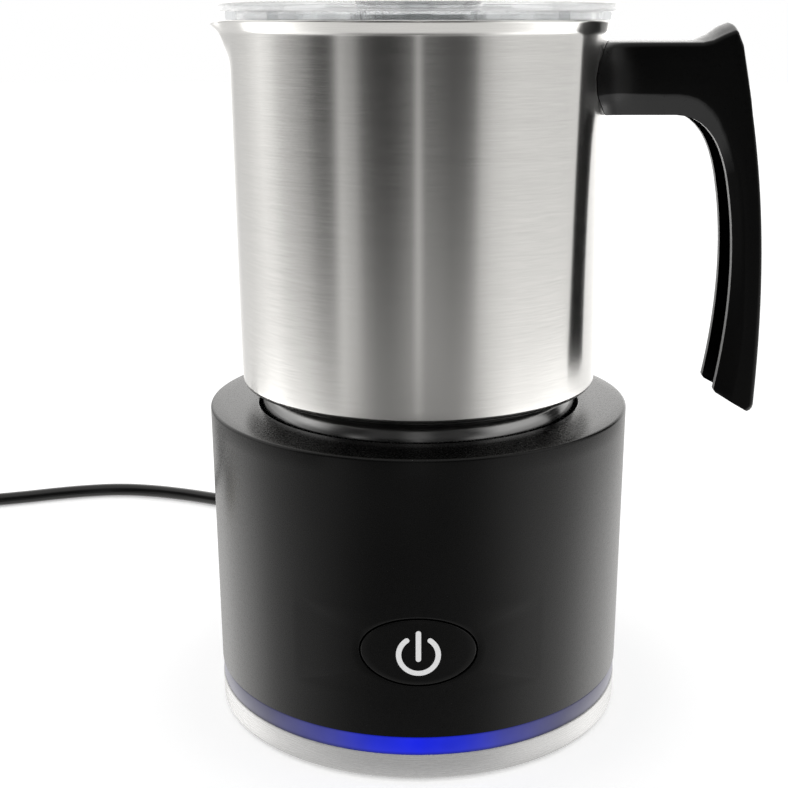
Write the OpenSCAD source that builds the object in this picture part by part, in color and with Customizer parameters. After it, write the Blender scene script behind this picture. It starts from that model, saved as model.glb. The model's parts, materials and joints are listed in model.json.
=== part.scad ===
// Milk frother: a steel jug with a clear lid and a handle, standing in an induction base.
// Origin: on the jug's axis at the table. +Z up, handle towards +X, spout -X, button -Y.

/* [Base] */
// Outer diameter of the base
base_d = 122; // [120:0.5:124]
// Height of the base's flat top face above the table
base_top = 93.5; // [92:0.5:95]
// Thickness of the housing's wall and of its top
base_wall = 2.4; // [2:0.1:2.6]
// Height of the bright trim ring
trim_h = 7.4; // [6.8:0.2:8]
// Height of the glowing ring above the trim ring
glow_h = 5.4; // [5:0.2:6]
// Diameter of the well that the jug stands in
well_d = 94; // [93.4:0.2:94.6]
// Depth of the well
well_depth = 6.5; // [6:0.1:6.6]

/* [Jug] */
// Outer diameter of the jug's straight wall
jug_d = 103; // [102:0.5:104]
// Height of the jug's rim above the table
rim_z = 199.9; // [198:0.1:202]
// Outer diameter of the flared rim
rim_d = 105.8; // [105.4:0.1:106]
// Thickness of the steel sheet
steel_t = 0.8; // [0.6:0.1:0.9]
// Outer diameter of the plastic foot ring under the jug
foot_d = 92; // [91:0.2:92.4]
// How far the spout's tip stands from the jug's axis
spout_reach = 57.2; // [56:0.2:58]

/* [Handle] */
// Width of the handle
handle_w = 22; // [20:0.5:24]
// Wall of the handle's channel
handle_wall = 2.4; // [2:0.1:2.8]
// Rise of the handle's crown over its side edges
crown_h = 3; // [2.5:0.1:3.5]

/* [Lid] */
// Diameter of the lid
lid_d = 109; // [108:0.5:111]
// Thickness of the lid's plate
lid_t = 2.3; // [2:0.1:3]
// Gap that the lid's ribs keep over the rim
lid_gap = 2; // [1.5:0.1:2.5]

/* [Button] */
// Width of the oval button
button_w = 32; // [30:0.5:33]
// Height of the oval button
button_h = 20; // [18:0.5:21]
// Height of the button's centre above the table
button_z = 39.4; // [38:0.2:41]
// Gap around the button
button_gap = 0.45; // [0.3:0.05:0.6]

/* [Whisk] */
// Diameter of the whisk's ring, measured at the middle of its coil
whisk_d = 38; // [34:1:40]
// Diameter of the coil wound around the whisk's ring
whisk_coil_d = 6.8; // [6:0.2:7.2]

/* [Mains lead] */
// Diameter of the mains lead
cord_d = 5.3; // [5:0.1:5.4]

/* [Hidden] */

$fn = 96;
round_fn = 48;             // small round pieces
eps = 0.01;

base_r = base_d/2;
base_in = base_r - base_wall;
trim_z = 1;                // gap between the trim ring and the table
glow_z = trim_z + trim_h;
house_z = glow_z + glow_h;
well_r = well_d/2;
well_z = base_top - well_depth;
dish_t = 2;
dish_low = well_z - dish_t;

foot_ring_r = 47;
cover_z = 1.4;
cover_t = 2.5;
cover_top = cover_z + cover_t;

boss_r = 3.8;              // screw bosses inside the housing
boss_at = 51;
boss_top = 82;
boss_angles = [45, 135, 225, 315];
dish_screw_at = 53.2;
dish_flange_z = base_top - 7.5;
dish_flange_t = 2;
dish_screw_angles = [0, 90, 180, 270];

coil_in = 23;
coil_out = 38;
coil_z = dish_low - 2.8;
former_t = 1.6;
former_z = coil_z - former_t;
post_at = 43;              // posts that hold the coil and the motor under the dish
post_angles = [30, 150, 270];
bracket_t = 2;
bracket_z = former_z - 4.6;
motor_r = 12.2;
motor_h = 30.8;
motor_top = bracket_z;
motor_z = motor_top - motor_h;
shaft_r = 1.15;
rotor_r = 12.5;
rotor_z = dish_low - 5;
rotor_top = dish_low - 0.6;
motor_screw_at = 8.5;

sensor_at = [0, 18.5];
sensor_r = 3;

board_z = 30;
board_t = 1.6;
board_r = 40;
board_post_at = 34;
board_post_angles = [60, 180, 300];

cap_t = 4;                 // radial depth of the button's rim
stem_end = -50;
switch_front = -48.8;
switch_back = -45.3;

jug_r = jug_d/2;
rim_r = rim_d/2;
jug_floor = well_z + 1.2;  // underside of the steel floor
shell_low = 99.7;          // underside of the step above the foot ring
corner_r = 2;
corner_at = 49.2;
belly_z = shell_low + corner_r;
belly_draw = jug_r - corner_at - corner_r;
belly_scale = 18;
flare_h = 8;
foot_r = foot_d/2;
step_r = 42;               // steel below the step, inside the foot ring
post_h = 10;
spout_rise = 13.4;         // height of the spout's cone, its lean and half angle
spout_lean = 11.8;
spout_spread = 38;

lid_z = rim_z + lid_gap;
lid_top = lid_z + lid_t;
lid_r = lid_d/2;
plug_r = 49.6;             // the lid's skirt inside the jug
plug_low = 191.5;
seal_z = 195;
grip_r = 17;
grip_floor = 193;
grip_bar = 8;

whisk_r = whisk_d/2;
whisk_z = jug_floor + steel_t + 4.2;
hub_low = jug_floor + steel_t + 0.9;
hub_r = 12;

relief_z = 20;
relief_end = 89;
cord_r = cord_d/2;
cord_sides = 10;
coil_c = [-236, 190];      // middle of the coiled lead
coil_outer = 33.5;         // radius of the outer turn, then of the inner turn
coil_inner = coil_outer - 1.02*cord_d;
plug_end = [-207.6, 126, 6.4];

// Route of the lead from the strain relief to the coil
cord_route = [
    [0, 89, 20], [0, 97, 19.5], [-0.5, 105, 17.6], [-3, 113, 14], [-8, 120.5, 9.6],
    [-15, 127, 6], [-24, 132.5, 3.7], [-35, 137.5, 2.8], [-47, 142.5, 2.7],
    [-61, 148.5, 2.7], [-75, 155, 2.7], [-89, 161.5, 2.7], [-104, 167.5, 2.7],
    [-118, 171.5, 2.7], [-131, 173, 2.7], [-144, 171.5, 2.7], [-157, 168, 2.7],
    [-170, 163.5, 2.7], [-184, 159.5, 2.7], [-200, 157, 2.7], [-218, 156.5, 2.7],
    [-236, 156.5, 2.7]
];

// ---------------------------------------------------------------- helpers

function lerp(a, b, t) = a + (b - a)*t;

// Point of a cubic curve with four control points
function cubic(p, t) = pow(1 - t, 3)*p[0] + 3*pow(1 - t, 2)*t*p[1]
                     + 3*(1 - t)*t*t*p[2] + t*t*t*p[3];

function arc(c, r, a0, a1, n) = [for (i = [0:n]) let (a = lerp(a0, a1, i/n))
                                 [c[0] + r*cos(a), c[1] + r*sin(a)]];

module tube(r_out, r_in, z0, z1) {
    translate([0, 0, z0])
        difference() {
            cylinder(h = z1 - z0, r = r_out);
            translate([0, 0, -1]) cylinder(h = z1 - z0 + 2, r = r_in);
        }
}

module disc(r, z0, z1) {
    translate([0, 0, z0]) cylinder(h = z1 - z0, r = r);
}

module at_angles(angles, radius) {
    for (a = angles)
        rotate([0, 0, a]) translate([radius, 0, 0]) children();
}

// A pan-head screw with its head's underside at z = 0 and its shank pointing up
module screw(head_r, head_h, shank_r, shank_l) {
    translate([0, 0, -head_h])
        difference() {
            cylinder(h = head_h, r = head_r, $fn = round_fn);
            for (a = [0, 90])
                rotate([0, 0, a])
                    translate([-head_r*0.6, -0.35, -eps])
                        cube([head_r*1.2, 0.7, head_h*0.5]);
        }
    cylinder(h = shank_l, r = shank_r, $fn = round_fn);
}

// A closed tube through points p, one ring of n points at each
module sweep(p, r, n) {
    last = len(p) - 1;
    function along(i) = let (d = p[min(i + 1, last)] - p[max(i - 1, 0)]) d/norm(d);
    function side(d) = let (s = cross(d, [0, 0, 1])) s/norm(s);
    rings = [for (i = [0:last]) let (d = along(i), s = side(d), u = cross(s, d))
             for (k = [0:n - 1]) p[i] + r*(cos(360*k/n)*s + sin(360*k/n)*u)];
    walls = [for (i = [0:last - 1], k = [0:n - 1])
             [i*n + k, i*n + (k + 1)%n, (i + 1)*n + (k + 1)%n, (i + 1)*n + k]];
    polyhedron(rings, concat([[for (k = [n - 1:-1:0]) k]], walls,
                             [[for (k = [0:n - 1]) last*n + k]]), convexity = 6);
}

// An oval prism along the Y axis at the button, grown by g
module button_prism(g) {
    translate([0, 0, button_z])
        rotate([90, 0, 0])
            linear_extrude(height = base_r + 10)
                polygon([for (a = [0:7.5:352.5])
                         [(button_w/2 + g)*cos(a), (button_h/2 + g)*sin(a)]]);
}

// ---------------------------------------------------------------- base

module base_housing() {
    color([0.03, 0.03, 0.03])
        difference() {
            union() {
                difference() {
                    rotate_extrude() polygon(concat(
                        [[base_in, house_z], [base_r, house_z]],
                        arc([base_r - 0.8, base_top - 0.8], 0.8, 0, 90, 4),
                        [[well_r, base_top], [well_r, base_top - base_wall],
                         [base_in, base_top - base_wall]]));
                    button_prism(0);
                    translate([0, base_in - 3, relief_z])
                        rotate([-90, 0, 0]) cylinder(h = 8, r = 4.2, $fn = round_fn);
                }
                at_angles(boss_angles, boss_at) {
                    disc(boss_r, cover_top, boss_top, $fn = round_fn);
                    translate([2, -1, cover_top + 12])
                        cube([base_in - boss_at - 1.5, 2, boss_top - cover_top - 12]);
                }
                at_angles(dish_screw_angles, dish_screw_at)
                    translate([0, 0, dish_flange_z + dish_flange_t])
                        cylinder(h = base_top - base_wall - dish_flange_z
                                 - dish_flange_t + 0.5, r = 3, $fn = round_fn);
            }
            at_angles(boss_angles, boss_at)
                disc(1.25, cover_top - 1, cover_top + 14, $fn = round_fn);
            at_angles(dish_screw_angles, dish_screw_at)
                disc(1.05, dish_flange_z, base_top - 1.2, $fn = round_fn);
        }
}

// Plastic dish that closes the well and carries the coil, the sensor and the motor
module well_dish() {
    color([0.04, 0.04, 0.045])
        difference() {
            union() {
                disc(well_r + 2, dish_low, well_z);
                tube(well_r + 2, well_r, well_z - eps, base_top - base_wall);
                difference() {
                    tube(57.4, well_r + 1.5, dish_flange_z, dish_flange_z + dish_flange_t);
                    button_prism(3);
                }
                at_angles(post_angles, post_at)
                    disc(4.4, coil_z, dish_low + eps, $fn = round_fn);
            }
            translate([sensor_at[0], sensor_at[1], 0])
                disc(sensor_r + 0.1, dish_low - 1, well_z + 1, $fn = round_fn);
            at_angles(post_angles, post_at)
                disc(1.25, coil_z - 1, dish_low + 1, $fn = round_fn);
            at_angles(dish_screw_angles, dish_screw_at)
                disc(1.6, dish_flange_z - 1, dish_flange_z + dish_flange_t + 1,
                     $fn = round_fn);
        }
}

module dish_screws() {
    color([0.7, 0.7, 0.72])
        at_angles(dish_screw_angles, dish_screw_at)
            translate([0, 0, dish_flange_z]) screw(2.4, 1.6, 1.3, 5.4);
}

module glow_ring() {
    color([0.1, 0.15, 0.9])
        tube(base_r - 0.2, base_r - 4.4, glow_z, house_z);
}

module trim_ring() {
    color([0.85, 0.85, 0.86])
        rotate_extrude() polygon(concat(
            [[base_in + 0.1, trim_z], [base_r - 0.6, trim_z], [base_r, trim_z + 0.6],
             [base_r, glow_z], [base_in - 3.6, glow_z], [base_in - 3.6, glow_z - 2],
             [base_in + 0.1, glow_z - 2]]));
}

// Closes the base from below; its posts carry the control board
module bottom_cover() {
    color([0.05, 0.05, 0.05])
        difference() {
            union() {
                disc(base_in, cover_z, cover_top);
                at_angles(board_post_angles, board_post_at)
                    disc(3.4, cover_top - eps, board_z, $fn = round_fn);
                for (a = [22.5:45:337.5])
                    rotate([0, 0, a])
                        translate([46, -2, cover_top - eps])
                            cube([6, 4, glow_z + 1.2 - cover_top]);
                for (y = [switch_back - 1.7, switch_back + board_t + 0.1])
                    translate([-9, y, cover_top - eps])
                        cube([18, 1.6, 12]);
            }
            tube(foot_ring_r + 3.1, foot_ring_r - 3.1, cover_z - 1, cover_z + 1);
            at_angles(boss_angles, boss_at)
                disc(1.7, cover_z - 1, cover_top + 1, $fn = round_fn);
            at_angles(boss_angles, boss_at)
                disc(3.1, cover_z - 1, cover_z + 1.1, $fn = round_fn);
            at_angles(board_post_angles, board_post_at)
                disc(1, board_z - 10, board_z + 1, $fn = round_fn);
        }
}

module cover_screws() {
    color([0.7, 0.7, 0.72])
        at_angles(boss_angles, boss_at)
            translate([0, 0, cover_z + 1.1]) screw(2.8, 1, 1.5, 14);
}

// Non-slip ring that the base stands on
module rubber_foot() {
    color([0.12, 0.12, 0.12])
        difference() {
            tube(foot_ring_r + 3, foot_ring_r - 3, 0, cover_z + 1);
            at_angles(boss_angles, boss_at)
                disc(3.3, -1, cover_z + 2, $fn = round_fn);
        }
}

module led_board() {
    color([0.1, 0.35, 0.15])
        difference() {
            tube(54.4, 45.5, glow_z + 1.2, glow_z + 1.2 + board_t);
            at_angles(boss_angles, boss_at)
                disc(boss_r + 0.8, glow_z, house_z, $fn = round_fn);
            translate([-11, switch_back - 3, glow_z])
                cube([22, 8, 6]);
        }
}

// Two LEDs light the ring between each pair of screw bosses
module ring_leds() {
    color([0.9, 0.9, 0.6])
        for (quarter = [0:90:270], a = [15, 75])
            rotate([0, 0, quarter + a])
                translate([51.4, -1.75, glow_z + 1.2 + board_t])
                    cube([3, 3.5, 1.4]);
}

// ---------------------------------------------------------------- heating

module coil_former() {
    color([0.85, 0.82, 0.72])
        difference() {
            union() {
                disc(45.5, former_z, coil_z);
                tube(coil_in - 0.3, coil_in - 1.9, coil_z - eps, coil_z + 2.2);
                translate([sensor_at[0], sensor_at[1], 0])
                    disc(5.5, bracket_z + bracket_t + 0.2, former_z + eps,
                         $fn = round_fn);
            }
            disc(rotor_r + 0.9, former_z - 1, coil_z + 3);
            translate([sensor_at[0], sensor_at[1], 0])
                disc(4.5, former_z - 1.6, coil_z + 3, $fn = round_fn);
            at_angles(post_angles, post_at)
                disc(1.7, former_z - 1, coil_z + 1, $fn = round_fn);
        }
}

// Flat winding: each turn shows as a rounded ridge
module induction_coil() {
    turns = 10;
    pitch = (coil_out - coil_in)/turns;
    color([0.75, 0.4, 0.15])
        rotate_extrude() polygon(concat(
            [[coil_out, coil_z]],
            [for (i = [turns - 1:-1:0], k = [0:4])
                let (a = 180*k/4)
                [coil_in + pitch*(i + 0.5 + 0.48*cos(a)), coil_z + 1.5 + 0.7*sin(a)]],
            [[coil_in, coil_z]]));
}

module ferrite_bars() {
    color([0.2, 0.2, 0.22])
        for (a = [0:60:300])
            rotate([0, 0, a])
                translate([25, -3, former_z - 2.2])
                    cube([12, 6, 2.2]);
}

module sensor_cap() {
    color([0.8, 0.8, 0.8])
        translate([sensor_at[0], sensor_at[1], 0]) {
            disc(sensor_r, dish_low - 1, jug_floor - 0.1, $fn = round_fn);
            disc(4.2, dish_low - 1.7, dish_low - 0.4, $fn = round_fn);
        }
}

// Coil spring under the sensor's flange
module sensor_spring() {
    low = former_z - 1.6 + 0.3;
    high = dish_low - 1.7 - 0.25;
    turns = 5;
    steps = 12;
    color([0.75, 0.75, 0.75])
        translate([sensor_at[0], sensor_at[1], 0])
            sweep([for (i = [0:turns*steps])
                   [3.2*cos(360*i/steps), 3.2*sin(360*i/steps),
                    lerp(low, high, i/(turns*steps))]], 0.25, 6);
}

// ---------------------------------------------------------------- drive

module motor_bracket() {
    color([0.7, 0.7, 0.72])
        difference() {
            union() {
                disc(16, bracket_z, bracket_z + bracket_t);
                for (a = post_angles)
                    rotate([0, 0, a])
                        translate([0, -4, bracket_z])
                            cube([post_at, 8, bracket_t]);
                at_angles(post_angles, post_at)
                    disc(4, bracket_z, former_z, $fn = round_fn);
            }
            disc(3.2, bracket_z - 1, bracket_z + bracket_t + 1, $fn = round_fn);
            at_angles(post_angles, post_at)
                disc(1.7, bracket_z - 1, former_z + 1, $fn = round_fn);
            at_angles([0, 180], motor_screw_at)
                disc(1.4, bracket_z - 1, bracket_z + bracket_t + 1, $fn = round_fn);
        }
}

module bracket_screws() {
    color([0.7, 0.7, 0.72])
        at_angles(post_angles, post_at)
            translate([0, 0, bracket_z]) screw(2.8, 1.8, 1.5, 9.6);
}

module drive_motor() {
    color([0.6, 0.62, 0.65])
        difference() {
            union() {
                disc(motor_r, motor_z, motor_top, $fn = 64);
                disc(3, motor_top - eps, motor_top + 2.6, $fn = round_fn);
                disc(5, motor_z - 2.4, motor_z + eps, $fn = round_fn);
            }
            disc(shaft_r + 0.04, motor_z + 4, motor_top + 4, $fn = round_fn);
            at_angles([0, 180], motor_screw_at)
                disc(1.05, motor_top - 4, motor_top + 1, $fn = round_fn);
        }
}

module motor_screws() {
    color([0.7, 0.7, 0.72])
        at_angles([0, 180], motor_screw_at)
            translate([0, 0, bracket_z + bracket_t])
                rotate([180, 0, 0]) screw(2.2, 1.4, 1.2, 5);
}

module motor_shaft() {
    color([0.8, 0.8, 0.82])
        disc(shaft_r, motor_z + 4.2, rotor_z + 3, $fn = round_fn);
}

module magnet_carrier() {
    color([0.2, 0.2, 0.22])
        difference() {
            disc(rotor_r, rotor_z, rotor_top);
            disc(shaft_r, rotor_z - 1, rotor_z + 3, $fn = round_fn);
            at_angles([45, 135, 225, 315], 7.6)
                disc(3.2, rotor_top - 2.6, rotor_top + 1, $fn = round_fn);
        }
}

module drive_magnets() {
    color([0.75, 0.75, 0.78])
        at_angles([45, 135, 225, 315], 7.6)
            disc(3.15, rotor_top - 2.6, rotor_top - 0.1, $fn = round_fn);
}

// ---------------------------------------------------------------- electronics

module control_board() {
    color([0.1, 0.35, 0.15])
        difference() {
            disc(board_r, board_z, board_z + board_t);
            at_angles(board_post_angles, board_post_at)
                disc(1.4, board_z - 1, board_z + 3, $fn = round_fn);
        }
}

module board_screws() {
    color([0.7, 0.7, 0.72])
        at_angles(board_post_angles, board_post_at)
            translate([0, 0, board_z + board_t])
                rotate([180, 0, 0]) screw(2.4, 1.5, 1.2, 9);
}

module heat_sink() {
    base_t = 3;
    color([0.75, 0.76, 0.78])
        translate([20, -14, board_z + board_t]) {
            cube([base_t, 28, 24]);
            for (i = [0:5])
                translate([base_t - eps, i*5.2, 0])
                    cube([10, 1.6, 24]);
        }
}

module filter_capacitor() {
    color([0.15, 0.2, 0.5])
        translate([-24, 10, board_z + board_t]) {
            cylinder(h = 22, r = 8, $fn = round_fn);
            translate([0, 0, 22 - eps]) cylinder(h = 0.4, r = 6.4, $fn = round_fn);
        }
}

module filter_choke() {
    color([0.7, 0.35, 0.12])
        translate([-18, -20, board_z + board_t + 5])
            rotate_extrude() translate([6.5, 0]) circle(r = 4.6, $fn = 24);
}

module terminal_block() {
    color([0.2, 0.45, 0.25])
        translate([-8, 24, board_z + board_t])
            difference() {
                cube([16, 9, 10]);
                for (x = [4, 12])
                    translate([x, 4.5, 5]) cylinder(h = 6, r = 1.9, $fn = round_fn);
            }
}

module switch_board() {
    color([0.1, 0.35, 0.15])
        translate([-8, switch_back, 6])
            cube([16, board_t, 42]);
}

module tact_switch() {
    color([0.15, 0.15, 0.16])
        difference() {
            translate([-3, switch_front, button_z - 3])
                cube([6, switch_back - switch_front, 6]);
            translate([0, switch_front - 1, button_z])
                rotate([-90, 0, 0]) cylinder(h = 3.6, r = 1.8, $fn = round_fn);
        }
}

// ---------------------------------------------------------------- button

// The power symbol: an open ring with round ends, and a bar
module symbol_2d() {
    mid = 5.3;
    half = 0.72;
    gap = 36;
    a0 = 90 + gap;
    a1 = 450 - gap;
    polygon(concat(
        arc([0, 0], mid + half, a0, a1, 32),
        arc(mid*[cos(a1), sin(a1)], half, a1 + 30, a1 + 150, 4),
        arc([0, 0], mid - half, a1, a0, 32),
        arc(mid*[cos(a0), sin(a0)], half, a0 + 210, a0 + 330, 4)));
    polygon(concat(arc([0, 6.4], half, 0, 180, 8), arc([0, -1.2], half, 180, 360, 8)));
}

module symbol_prism() {
    translate([0, 0, button_z - 0.7])
        rotate([90, 0, 0])
            linear_extrude(height = base_r + 5) symbol_2d();
}

module button_cap() {
    color([0.03, 0.03, 0.03])
        difference() {
            union() {
                intersection() {
                    button_prism(-button_gap);
                    tube(base_r, base_r - cap_t, 20, 60);
                }
                intersection() {
                    button_prism(1.4);
                    tube(base_in - 0.3, base_r - cap_t, 20, 60);
                }
                translate([0, stem_end, button_z])
                    rotate([90, 0, 0])
                        cylinder(h = base_r - cap_t + stem_end + 0.6, r = 2.2,
                                 $fn = round_fn);
            }
            intersection() {
                symbol_prism();
                tube(base_r + 1, base_r - 1.2, 20, 60);
            }
        }
}

// White light guide set flush in the button
module power_symbol() {
    color([0.95, 0.95, 0.95])
        intersection() {
            symbol_prism();
            tube(base_r + 0.05, base_r - 1.2, 20, 60);
        }
}

module switch_plunger() {
    color([0.8, 0.8, 0.75])
        translate([0, stem_end, button_z])
            rotate([-90, 0, 0]) cylinder(h = 2.4, r = 1.65, $fn = round_fn);
}

// ---------------------------------------------------------------- jug

// Outer radius of the jug's wall at height z
function wall_r(z) =
    jug_r - belly_draw*exp(-(z - belly_z)/belly_scale)
    + (rim_r - jug_r)*pow(max(0, z - rim_z + flare_h)/flare_h, 2);

// Right side of the jug's outline, moved inwards by t
function jug_side(t) = concat(
    [[0, jug_floor + t], [step_r - 1.5, jug_floor + t]],
    arc([step_r - 1.5, jug_floor + 1.5], 1.5 - t, -90, 0, 3),
    [[step_r - t, shell_low + t]],
    arc([corner_at, belly_z], corner_r - t, -90, 0, 5),
    [for (i = [1:10]) let (z = lerp(belly_z, rim_z - flare_h, i/10)) [wall_r(z) - t, z]],
    [for (i = [1:4]) let (z = lerp(rim_z - flare_h, rim_z, i/4)) [wall_r(z) - t, z]]);

// The jug as a solid, t smaller all round, with its top raised by over
module jug_solid(t, over) {
    rotate_extrude() polygon(concat(jug_side(t), [[rim_r - t, rim_z + over],
                                                  [0, rim_z + over]]));
}

// A leaning cone, cut off level, that widens the rim into the spout
module spout_cone(shift, over) {
    translate([spout_rise*tan(spout_spread - spout_lean) - spout_reach + shift, 0,
               rim_z - spout_rise])
        intersection() {
            rotate([0, spout_lean, 0])
                cylinder(h = 2*spout_rise, r1 = 0, r2 = 2*spout_rise*tan(spout_spread));
            translate([-30, -30, 0]) cube([42, 60, spout_rise + over]);
        }
}

module jug_shell() {
    color([0.75, 0.75, 0.76])
        difference() {
            union() {
                jug_solid(0, 0.001);
                spout_cone(0, 0);
            }
            jug_solid(steel_t, 1);
            spout_cone(steel_t*1.3, 1);
        }
}

// Glossy ring around the bottom of the steel that stands in the well
module jug_foot() {
    color([0.03, 0.03, 0.03])
        rotate_extrude() polygon(concat(
            [[38, well_z], [foot_r - 0.8, well_z], [foot_r, well_z + 0.8],
             [foot_r, base_top + 1]],
            arc([foot_r - 3, base_top + 1], 3, 15, 80, 5),
            [[step_r + 0.1, shell_low - 0.1], [step_r + 0.1, jug_floor - 0.1],
             [38, jug_floor - 0.1]]));
}

module whisk_post() {
    color([0.8, 0.8, 0.82]) {
        disc(1.5, jug_floor + steel_t, jug_floor + steel_t + post_h, $fn = round_fn);
        disc(5, jug_floor + steel_t, jug_floor + steel_t + 0.5, $fn = round_fn);
    }
}

// ---------------------------------------------------------------- handle

handle_low = 98.7;
arm_under = 175.2;
outer_curve = [[86, 196.5], [92.5, 168], [98, 145], [96.8, 95]];
throat_curve = [[70, arm_under], [79, 175], [83.5, 167], [85.6, 155.5]];
grip_curve = [[85.6, 155.5], [89.2, 138], [88.6, 118], [85.4, handle_low]];
function curve(c, n, dx) = [for (i = [0:n]) cubic(c, i/n) + [dx, 0]];

// Side outline of the handle, its top edge raised by up
module handle_outline(up) {
    polygon(concat(
        [[47, 194 + up], [77, 194 + up], [81, 195.1 + up], [84, 196.4 + up],
         [85.3, 196.8 + up]],
        curve(outer_curve, 12, 0),
        [[96.6, 93.4], [96, 92.3], [95.2, 91.8]],
        curve([grip_curve[3], grip_curve[2], grip_curve[1], grip_curve[0]], 8, 0),
        curve([throat_curve[3], throat_curve[2], throat_curve[1], throat_curve[0]], 6, 0),
        [[47, arm_under]]));
}

// The channel's hollow, open on the inner side of the grip and under the arm
module handle_hollow_outline() {
    polygon(concat(
        [[40, 194 - handle_wall], [84.5, 194 - handle_wall]],
        [for (i = [2:11]) cubic(outer_curve, i/12) - [handle_wall + 0.2, 0]],
        [[93.6, 96], [84, 102.7], [60, 119.4], [60, 165], [40, 165]]));
}

module along_y(width) {
    rotate([90, 0, 0])
        translate([0, 0, -width/2])
            linear_extrude(height = width) children();
}

module handle_shell() {
    crown_r = (pow(handle_w/2, 2) + crown_h*crown_h)/(2*crown_h);
    boss_x = [61, 71];
    color([0.04, 0.04, 0.04])
        difference() {
            union() {
                difference() {
                    intersection() {
                        along_y(handle_w) handle_outline(crown_h);
                        translate([48, 0, 197])
                            rotate([0, -3.5, 0])
                                translate([-10, 0, 0])
                                    rotate([90, 0, 90])
                                        linear_extrude(height = 70)
                                            polygon(concat(
                                                [[-handle_w/2 - 1, -120],
                                                 [handle_w/2 + 1, -120]],
                                                arc([0, -crown_r], crown_r, 58, 122, 14)));
                    }
                    along_y(handle_w - 2*handle_wall) handle_hollow_outline();
                }
                for (x = boss_x)
                    translate([x, 0, 188.2])
                        cylinder(h = 4.4, r = 3.4, $fn = round_fn);
            }
            for (x = boss_x)
                translate([x, 0, 187]) cylinder(h = 7.6, r = 1.25, $fn = round_fn);
            rotate_extrude() polygon(concat(
                [for (i = [0:8]) let (z = lerp(150, rim_z, i/8)) [wall_r(z) + 0.12, z]],
                [[0, rim_z], [0, 150]]));
        }
}

// Strap welded to the jug, inside the handle's arm
module handle_bracket() {
    color([0.75, 0.75, 0.76])
        difference() {
            union() {
                intersection() {
                    tube(jug_r + 1.4, jug_r + 0.02, 179, 190.5);
                    translate([45, -8, 179]) cube([12, 16, 12]);
                }
                translate([jug_r + 0.6, -6, 186.2]) cube([25, 12, 1.9]);
            }
            for (x = [61, 71])
                translate([x, 0, 185]) cylinder(h = 4, r = 1.7, $fn = round_fn);
        }
}

module handle_screws() {
    color([0.7, 0.7, 0.72])
        for (x = [61, 71])
            translate([x, 0, 186.2]) screw(2.7, 1.8, 1.5, 7.4);
}

// ---------------------------------------------------------------- whisk

module whisk_hub() {
    color([0.1, 0.1, 0.1])
        difference() {
            union() {
                disc(hub_r, hub_low, hub_low + 5);
                disc(4.2, hub_low + 5 - eps, hub_low + 14, $fn = round_fn);
                translate([0, 0, hub_low + 14 - eps])
                    cylinder(h = 2.6, r1 = 5.4, r2 = 4.4, $fn = round_fn);
                for (a = [0:90:270])
                    rotate([0, 0, a])
                        translate([hub_r - 1, -1.6, whisk_z - 1.6])
                            cube([whisk_r - whisk_coil_d/2 - hub_r + 1.6, 3.2, 3.2]);
            }
            disc(1.56, hub_low - 1, jug_floor + steel_t + post_h + 0.05, $fn = round_fn);
            disc(5.6, hub_low - 1, hub_low + 0.2, $fn = round_fn);
            at_angles([0, 180], 7.4)
                disc(3.05, hub_low + 0.9, hub_low + 3.6, $fn = round_fn);
        }
}

module whisk_magnets() {
    color([0.75, 0.75, 0.78])
        at_angles([0, 180], 7.4)
            disc(3, hub_low + 1, hub_low + 3.5, $fn = round_fn);
}

// Outer shape of the wire coil wound around the whisk's ring
module whisk_coil() {
    color([0.8, 0.8, 0.82])
        translate([0, 0, whisk_z])
            rotate_extrude()
                translate([whisk_r, 0])
                    difference() {
                        circle(r = whisk_coil_d/2, $fn = 28);
                        circle(r = whisk_coil_d/2 - 0.9, $fn = 28);
                    }
}

// ---------------------------------------------------------------- lid

module lid_cover() {
    color([0.8, 0.9, 0.95, 0.5])
        difference() {
            union() {
                disc(lid_r, lid_z, lid_top);
                tube(plug_r, plug_r - 1.6, plug_low, lid_z + eps);
                tube(plug_r + 0.5, plug_r - eps, seal_z + 1.6, seal_z + 2.6);
                disc(grip_r + 1.6, grip_floor - 1.6, lid_z + eps);
                for (a = [15:30:345])
                    rotate([0, 0, a])
                        translate([plug_r - eps, -0.6, rim_z])
                            cube([rim_r - plug_r - 0.4, 1.2, lid_gap + eps]);
            }
            difference() {
                disc(grip_r, grip_floor, lid_top + 1);
                translate([-grip_bar/2, -grip_r - 1, grip_floor - 1])
                    cube([grip_bar, 2*grip_r + 2, lid_top - grip_floor + 1]);
            }
        }
}

// Soft ring on the lid's skirt that grips the inside of the rim
module lid_seal() {
    color([0.9, 0.9, 0.88])
        rotate_extrude() polygon([
            [plug_r, seal_z - 1.4], [plug_r + 0.6, seal_z - 1.4], [plug_r + 1, seal_z - 0.6],
            [plug_r + 0.5, seal_z], [plug_r + 1, seal_z + 0.6], [plug_r + 0.6, seal_z + 1.5],
            [plug_r, seal_z + 1.5]]);
}

// ---------------------------------------------------------------- mains lead

// Ribbed sleeve that guides the lead out of the back of the base
module strain_relief() {
    flange_y = base_r + 0.25;
    cone_y = flange_y + 1.8;
    color([0.05, 0.05, 0.05])
        translate([0, 0, relief_z])
            rotate([-90, 0, 0]) {
                translate([0, 0, 55.4]) cylinder(h = 2.6, r = 5.6, $fn = round_fn);
                translate([0, 0, 57]) cylinder(h = 6, r = 4.1, $fn = round_fn);
                translate([0, 0, flange_y]) cylinder(h = 1.8, r = 5.4, $fn = round_fn);
                translate([0, 0, cone_y - eps])
                    cylinder(h = relief_end - cone_y + eps, r1 = 3.9, r2 = 3.1,
                             $fn = round_fn);
                for (i = [0:5])
                    translate([0, 0, cone_y + 2 + i*3.8])
                        cylinder(h = 2, r = 4.6 - i*0.2, $fn = round_fn);
            }
}

module cord() {
    color([0.03, 0.03, 0.03]) sweep(cord_route, cord_r, cord_sides);
}

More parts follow.
